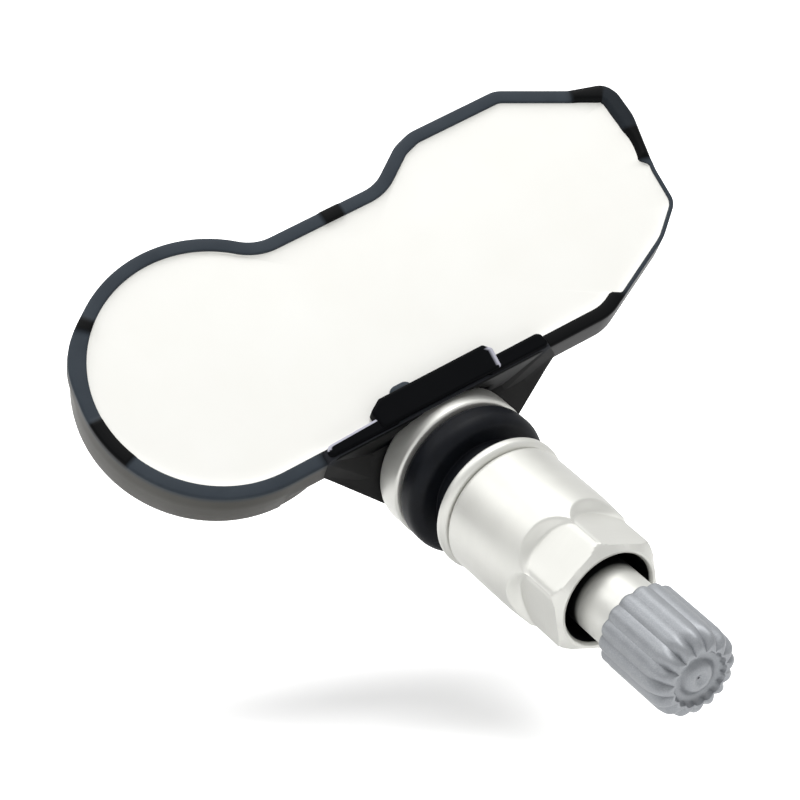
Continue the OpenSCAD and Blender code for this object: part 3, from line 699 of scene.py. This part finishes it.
# %% [markdown]
# ### Casting resin
# A white two-part polyurethane is poured over the board and levels itself. It cures to a smooth,
# slightly creamy face with soft swells a few millimetres wide and a little less gloss than glass.

# %% Material of the resin
def resin_finish():
    """Swells 9 mm wide in the colour and the relief."""
    material, tree, shader, place = start("white_casting_resin", {"Roughness": 0.38, "IOR": 1.5})
    swells = add(tree, "ShaderNodeTexNoise", {"Vector": place, "Scale": 1 / (9 * MM), "Detail": 2.0})
    swell = swells.outputs["Fac"]
    bump = add(tree, "ShaderNodeBump", {"Height": swell, "Strength": 0.4, "Distance": 0.08 * MM})
    feed(tree, shader, {"Base Color": layered(tree, "#f1f0ea", (swell, "#f6f6f2")),
                        "Normal": bump.outputs["Normal"]})
    return material


resin_white = resin_finish()
print("finish of the resin:", resin_white.name)

# %% [markdown]
# ### Turned aluminium
# Valve, washer and nut are turned from aluminium bar, blasted with glass beads and lacquered. The
# lacquer scatters some of the light, so the metal reads as a pale satin and not as a mirror. The
# tool leaves rings about 0.05 mm apart, which would vanish here, so they are drawn at 0.25 mm
# and very shallow. The rings follow the distance along the valve: a Mapping node turns the
# coordinates so that Y runs along it. In the nut's bore, and on the stem inside it, where the attribute
# "bore" marks, near black paints the shade of the recess.

# %% Material of the valve
def aluminium_finish(name, dark, pale, ring_mm, rough):
    """Cloudy metal with shallow tool rings in the gloss and the relief, and painted shade, near black, where
    bore is marked.
    """
    material, tree, shader, place = start(name, {"Metallic": 0.52})
    turn = add(tree, "ShaderNodeMapping", {"Vector": place, "Rotation": (TILT, 0.0, 0.0)})
    rings = add(tree, "ShaderNodeMapping", {"Vector": turn.outputs[0], "Scale": (0.03, 1.0, 0.03)})
    ring_noise = {"Vector": rings.outputs[0], "Scale": 1 / (ring_mm * MM), "Detail": 2.0}
    tool = add(tree, "ShaderNodeTexNoise", ring_noise).outputs["Fac"]
    cloud = add(tree, "ShaderNodeTexNoise", {"Vector": place, "Scale": 1 / (5 * MM), "Detail": 3.0})
    bore = add(tree, "ShaderNodeAttribute", attribute_name="bore")
    # Near black #141416 paints the shade inside the nut's recess.
    colour = layered(tree, dark, (cloud.outputs["Fac"], pale), (bore.outputs["Fac"], "#141416"))
    gloss = add(tree, "ShaderNodeMapRange", {"Value": tool, "To Min": rough - 0.06, "To Max": rough + 0.06})
    bump = add(tree, "ShaderNodeBump", {"Height": tool, "Strength": 0.12, "Distance": 0.01 * MM})
    feed(tree, shader, {"Base Color": colour, "Roughness": gloss.outputs["Result"],
                        "Normal": bump.outputs["Normal"]})
    return material


aluminium = aluminium_finish("satin_turned_aluminium", "#c6c6c1", "#d3d3ce", 0.25, 0.46)
print("finish of the valve:", aluminium.name)

# %% [markdown]
# ### Moulded rubber
# The grommet is EPDM rubber from a smooth mould: almost black, soft in its gloss, with a faint
# bluish bloom where it catches the light. The seals of the cap and the core are other rubbers
# with the same skin.

# %% Material of the grommet and the seals
def rubber_finish(name, dark, bloom, rough, gleam=0.5):
    """A mottled skin 1.2 mm wide in the colour and the relief."""
    material, tree, shader, place = start(
        name, {"Roughness": rough, "IOR": 1.5, "Specular IOR Level": gleam})
    mottles = add(tree, "ShaderNodeTexNoise", {"Vector": place, "Scale": 1 / (1.2 * MM), "Detail": 5.0})
    mottle = mottles.outputs["Fac"]
    bump = add(tree, "ShaderNodeBump", {"Height": mottle, "Strength": 0.2, "Distance": 0.02 * MM})
    feed(tree, shader, {"Base Color": layered(tree, dark, (mottle, bloom)), "Normal": bump.outputs["Normal"]})
    return material


grommet_rubber = rubber_finish("black_epdm_rubber", "#08090c", "#12151b", 0.5, 0.1)
seal_rubber = rubber_finish("grey_seal_rubber", "#2c2c30", "#3c3c41", 0.6)
gasket_rubber = rubber_finish("red_gasket_rubber", "#7d231c", "#94332a", 0.55)
print("rubbers:", [m.name for m in (grommet_rubber, seal_rubber, gasket_rubber)])

# %% [markdown]
# ### Grey cap plastic
# The cap is nylon moulded in mid grey with a little metal flake, so its ribs look brushed where
# they catch the light. Flakes are about 0.05 mm and are drawn at 0.12 mm.

# %% Material of the cap
def cap_finish():
    """Flakes times clouds in the colour, and clouds 1.5 mm wide in the gloss and the relief."""
    material, tree, shader, place = start("flake_grey_nylon", {"Metallic": 0.25, "IOR": 1.53})
    flake = add(tree, "ShaderNodeTexVoronoi", {"Vector": place, "Scale": 1 / (0.12 * MM)})
    clouds = add(tree, "ShaderNodeTexNoise", {"Vector": place, "Scale": 1 / (1.5 * MM), "Detail": 4.0})
    cloud = clouds.outputs["Fac"]
    product = add(tree, "ShaderNodeMath", {0: flake.outputs["Distance"], 1: cloud}, operation="MULTIPLY")
    gloss = add(tree, "ShaderNodeMapRange", {"Value": cloud, "To Min": 0.34, "To Max": 0.5})
    bump = add(tree, "ShaderNodeBump", {"Height": cloud, "Strength": 0.3, "Distance": 0.02 * MM})
    feed(tree, shader, {"Base Color": layered(tree, "#85888c", (product.outputs[0], "#a8abaf")),
                        "Roughness": gloss.outputs["Result"], "Normal": bump.outputs["Normal"]})
    return material


cap_plastic = cap_finish()
print("finish of the cap:", cap_plastic.name)

# %% [markdown]
# ### Finishes of the hidden parts
# Under the resin there are a glass-fibre board, a plated steel cell, brass, copper and ceramics.
# A picture never shows them, but the part can be opened in a viewer, so each still gets the
# pattern of the real material at its real scale.

# %% Material of the circuit board
def board_finish():
    """The weave of the glass cloth as diagonal waves."""
    material, tree, shader, place = start("green_fibreglass_board", {"Roughness": 0.35, "IOR": 1.55})
    weave = add(tree, "ShaderNodeTexWave", {"Vector": place, "Scale": 1 / (3 * MM), "Distortion": 0.6},
                bands_direction="DIAGONAL").outputs["Fac"]
    bump = add(tree, "ShaderNodeBump", {"Height": weave, "Strength": 0.2, "Distance": 0.02 * MM})
    feed(tree, shader, {"Base Color": layered(tree, "#1a5c34", (weave, "#237044")),
                        "Normal": bump.outputs["Normal"]})
    return material


board_green = board_finish()
print("finish of the board:", board_green.name)


# %% Metals inside: plated steel, brass, copper
def inner_metal(name, dark, pale, rough, grain_mm, drawn_out):
    """Grain of grain_mm in the colour and the gloss. A number below 1 in drawn_out lengthens it that way."""
    material, tree, shader, place = start(name, {"Metallic": 1.0})
    drawn = add(tree, "ShaderNodeMapping", {"Vector": place, "Scale": drawn_out}).outputs[0]
    grains = add(tree, "ShaderNodeTexNoise", {"Vector": drawn, "Scale": 1 / (grain_mm * MM), "Detail": 4.0})
    grain = grains.outputs["Fac"]
    gloss = add(tree, "ShaderNodeMapRange", {"Value": grain, "To Min": rough - 0.07, "To Max": rough + 0.07})
    feed(tree, shader, {"Base Color": layered(tree, dark, (grain, pale)),
                        "Roughness": gloss.outputs["Result"]})
    return material


cell_steel = inner_metal("nickel_plated_cell_steel", "#c4c5c6", "#d6d7d8", 0.3, 0.4, (0.05, 1.0, 1.0))
tab_steel = inner_metal("nickel_strip", "#c9c4b4", "#dad5c6", 0.32, 0.3, (0.05, 1.0, 1.0))
can_steel = inner_metal("nickel_silver_can", "#bfbfba", "#cfcfcb", 0.28, 0.3, (1.0, 0.1, 1.0))
antenna_bronze = inner_metal("phosphor_bronze_strip", "#b47a3e", "#c78f52", 0.3, 0.3, (1.0, 1.0, 0.1))
core_brass = inner_metal("turned_valve_brass", "#c3a04e", "#d8b866", 0.25, 0.15, (1.0, 1.0, 1.0))
spring_steel = inner_metal("drawn_spring_steel", "#b0b0ab", "#c4c4bf", 0.25, 0.1, (1.0, 1.0, 1.0))
inner_metals = (cell_steel, tab_steel, can_steel, antenna_bronze, core_brass, spring_steel)
print("metals inside:", [m.name for m in inner_metals])


# %% Coil wire, ferrite, chips and ceramics
WIRE_MM, WAVES_PER_SCALE = 0.12, 3.2


def winding_finish():
    """Enamelled wire 0.12 mm thick, wound across X, drawn as waves along X."""
    material, tree, shader, place = start("enamelled_copper_wire", {"Metallic": 1.0, "Roughness": 0.3})
    wave = {"Vector": place, "Scale": 1 / (WIRE_MM * WAVES_PER_SCALE * MM)}
    turns = add(tree, "ShaderNodeTexWave", wave, bands_direction="X").outputs["Fac"]
    bump = add(tree, "ShaderNodeBump", {"Height": turns, "Strength": 0.6, "Distance": 0.04 * MM})
    feed(tree, shader, {"Base Color": layered(tree, "#7d3f1a", (turns, "#c8743a")),
                        "Normal": bump.outputs["Normal"]})
    return material


def fired_finish(name, dark, pale, rough, grain_mm):
    """Pressed or moulded grain of grain_mm, as on ferrite, ceramic and epoxy."""
    material, tree, shader, place = start(name, {"Roughness": rough, "IOR": 1.55})
    grains = add(tree, "ShaderNodeTexNoise", {"Vector": place, "Scale": 1 / (grain_mm * MM), "Detail": 5.0})
    grain = grains.outputs["Fac"]
    bump = add(tree, "ShaderNodeBump", {"Height": grain, "Strength": 0.3, "Distance": 0.01 * MM})
    feed(tree, shader, {"Base Color": layered(tree, dark, (grain, pale)), "Normal": bump.outputs["Normal"]})
    return material


copper_wire = winding_finish()
ferrite = fired_finish("sintered_ferrite", "#303032", "#424245", 0.55, 0.12)
chip_epoxy = fired_finish("black_chip_epoxy", "#1f2023", "#2f3034", 0.6, 0.08)
capacitor_ceramic = fired_finish("tan_capacitor_ceramic", "#a38a5e", "#b89d70", 0.5, 0.1)
print("finishes on the board:", [m.name for m in (copper_wire, ferrite, chip_epoxy, capacitor_ceramic)])

# %% Give every CAD node its finish
finish_of = {
    "housing": nylon, "resin_fill": resin_white, "circuit_board": board_green, "battery_cell": cell_steel,
    "battery_tab_top": tab_steel, "battery_tab_base": tab_steel, "pressure_chip": chip_epoxy,
    "radio_chip": chip_epoxy, "crystal": can_steel, "capacitors": capacitor_ceramic, "coil_core": ferrite,
    "coil_winding": copper_wire, "antenna_strip": antenna_bronze, "valve_stem": aluminium,
    "grommet": grommet_rubber, "washer": aluminium, "nut": aluminium, "cap_shell": cap_plastic,
    "cap_seal": seal_rubber, "core_body": core_brass, "core_gasket": gasket_rubber, "core_pin": core_brass,
    "core_cup_seal": seal_rubber, "core_spring": spring_steel,
}


def dress(piece, finish):
    """The piece gets one material, in its own slot."""
    piece.data.materials.clear()
    piece.data.materials.append(finish)


for node_name, finish in finish_of.items():
    dress(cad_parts[node_name], finish)
print("finishes on CAD nodes:", len(finish_of), "of", len(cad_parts))

# %% [markdown]
# ## Seat the new pieces
# A new piece rides on the body that its CAD solid belongs to, hides that solid, and gets its
# finish, so it moves with every pose as the solid does. Each row also names a slot, which nothing
# here uses.

# %% Ride, replace and dress
new_pieces = [
    (tray_wall, "sensor", "housing", "housing_plastic", nylon),
    (battery_bowl, "sensor", "housing", "housing_plastic", nylon),
    (valve_block, "sensor", "housing", "housing_plastic", smooth_nylon),
    (right_shoulder, "sensor", "housing", "housing_plastic", smooth_nylon),
    (left_shoulder, "sensor", "housing", "housing_plastic", smooth_nylon),
    (block_pip, "sensor", "housing", "housing_plastic", nylon),
    (root_boss, "sensor", "housing", "housing_plastic", nylon),
    (air_hole, "sensor", "housing", "housing_plastic", nylon),
    (valve_boss, "sensor", "housing", "housing_plastic", matt_nylon),
    (resin_face, "sensor", "resin_fill", "resin", resin_white),
    (threaded_stem, "sensor", "valve_stem", "aluminium", aluminium),
    (grommet_ring, "sensor", "grommet", "grommet_rubber", grommet_rubber),
    (washer_ring, "washer", "washer", "aluminium", aluminium),
    (hexagon_nut, "nut", "nut", "aluminium", aluminium),
    (ribbed_cap, "cap", "cap_shell", "cap_plastic", cap_plastic),
]
for piece, body, node_name, slot_name, finish in new_pieces:
    dress(piece, finish)
    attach(piece, body)
    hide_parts(node_name)
print("new pieces:", len(new_pieces))

# %% [markdown]
# ## Camera
# The photograph was solved against the valve's round edges and the tray's outline: the camera
# stands about 0.35 m away, above the battery side, and its lens is long. Its three directions
# and place are written out, so the view is the photograph's own.

# %% Camera at the photograph's viewpoint
CAMERA_PLACE = Vector((-126.4, -84.6, 310.15)) * MM
SENSOR_WIDTH, FOCAL_LENGTH = 36, 150.9
look_right = Vector((0.8274, -0.5374, 0.1631)).normalized()
look_back = Vector((-0.3571, -0.2793, 0.8913)).normalized()
look_right = (look_right - look_right.dot(look_back) * look_back).normalized()
look_up = look_back.cross(look_right)
turn = Matrix((look_right, look_up, look_back)).transposed().to_4x4()
camera_data = bpy.data.cameras.new("photo_camera")
camera = bpy.data.objects.new("photo_camera", camera_data)
bpy.context.collection.objects.link(camera)
camera.matrix_world = Matrix.Translation(CAMERA_PLACE) @ turn
camera_data.sensor_width = SENSOR_WIDTH
camera_data.lens = FOCAL_LENGTH
camera_data.clip_start, camera_data.clip_end = 0.01, 10
bpy.context.scene.camera = camera
print("camera looks along", [round(-v, 3) for v in look_back])

# %% [markdown]
# ## Floor and light
# The photograph has a pure white ground with one faint, soft shadow well below the sensor, as
# if it hovered over a table seen almost edge-on. So the floor is a wide white plate that faces
# the picture's top, tipped 13 degrees towards the camera. Its back is clear, so that views from
# behind it still see the sensor. A broad lamp above gives the soft shadow, a small one from the
# left gives the glints, and the pale world fills the rest. World and floor glow at full strength
# only for what is seen directly, mirrored or through glass, so that the ground is white and the
# part isn't washed out by its light.

# %% The floor's place and its white paper
FLOOR_TIP, FLOOR_HALF = math.radians(13), 1.2
SHADE_FROM, SHADE_TO, SHADE_GLOW = 4 * MM, 44 * MM, 0.36
floor_up = (math.cos(FLOOR_TIP) * look_up + math.sin(FLOOR_TIP) * look_back).normalized()
floor_far = floor_up.cross(look_right)
floor_middle = (-9.6 * look_right - 23.4 * look_up - 6.2 * look_back) * MM


def seen_rays(tree):
    """1 for a ray from the camera, or a mirrored one or one through glass, and 0 for every other ray."""
    path = add(tree, "ShaderNodeLightPath").outputs
    seen = path["Is Camera Ray"]
    for kind in ("Is Glossy Ray", "Is Transmission Ray"):
        seen = add(tree, "ShaderNodeMath", {0: seen, 1: path[kind]}, operation="MAXIMUM").outputs[0]
    return seen


def floor_finish():
    """White paper that is clear from behind. Its glow rises from 0.36 under the sensor to 1 at 44 mm from
    there, so the camera reads pure white but for the soft shadow."""
    material = bpy.data.materials.new("white_studio_floor")
    material.use_nodes = True
    tree = material.node_tree
    tree.nodes.clear()
    side = add(tree, "ShaderNodeNewGeometry").outputs
    ends = {0: side["Position"], 1: tuple(floor_middle)}
    far = add(tree, "ShaderNodeVectorMath", ends, operation="DISTANCE").outputs["Value"]
    span = {"Value": far, "From Min": SHADE_FROM, "From Max": SHADE_TO, "To Min": SHADE_GLOW, "To Max": 1.0}
    rise = add(tree, "ShaderNodeMapRange", span, interpolation_type="SMOOTHSTEP").outputs["Result"]
    glow = add(tree, "ShaderNodeMath", {0: seen_rays(tree), 1: rise}, operation="MULTIPLY")
    paper = add(tree, "ShaderNodeBsdfDiffuse", {"Color": linear("#f2f2f2")})
    lit = add(tree, "ShaderNodeEmission", {"Color": (1, 1, 1, 1), "Strength": glow.outputs[0]})
    both = add(tree, "ShaderNodeAddShader", {0: paper.outputs[0], 1: lit.outputs[0]})
    clear = add(tree, "ShaderNodeBsdfTransparent")
    mix = add(tree, "ShaderNodeMixShader", {0: side["Backfacing"], 1: both.outputs[0], 2: clear.outputs[0]})
    add(tree, "ShaderNodeOutputMaterial", {"Surface": mix.outputs[0]})
    return material


# %% The floor's plate
signs = ((-1, -1), (1, -1), (1, 1), (-1, 1))
corners = [floor_middle + FLOOR_HALF * (u * look_right + v * floor_far) for u, v in signs]
floor_mesh = bpy.data.meshes.new("studio_floor")
floor_mesh.from_pydata([tuple(c) for c in corners], [], [(0, 1, 2, 3)])
floor_mesh.update()
if floor_mesh.polygons[0].normal.dot(floor_up) < 0:
    floor_mesh.flip_normals()
floor = bpy.data.objects.new("studio_floor", floor_mesh)
bpy.context.collection.objects.link(floor)
floor_mesh.materials.append(floor_finish())
print("floor faces", [round(v, 2) for v in floor_up])

# %% World and lamps
world = bpy.data.worlds.new("pale_room")
bpy.context.scene.world = world
world.use_nodes = True
sky = world.node_tree
sky.nodes.clear()
strength = add(sky, "ShaderNodeMapRange", {"Value": seen_rays(sky), "To Min": 0.5, "To Max": 1.0})
room = add(sky, "ShaderNodeBackground", {"Color": (1, 1, 1, 1), "Strength": strength.outputs["Result"]})
add(sky, "ShaderNodeOutputWorld", {"Surface": room.outputs[0]})


def lamp(name, towards, distance, size, power):
    """A square lamp at a distance in metres in direction towards, facing the origin."""
    data = bpy.data.lights.new(name, "AREA")
    data.size, data.energy = size, power
    light = bpy.data.objects.new(name, data)
    bpy.context.collection.objects.link(light)
    direction = Vector(towards).normalized()
    light.location = direction * distance
    light.rotation_euler = direction.to_track_quat("Z", "Y").to_euler()


lamp("overhead_softbox", floor_up, 0.5, 0.3, 1.7)
lamp("left_glint", -0.68 * look_right + 0.72 * look_up + 0.17 * look_back, 0.5, 0.2, 0.45)
bpy.context.scene.view_settings.view_transform = "Standard"
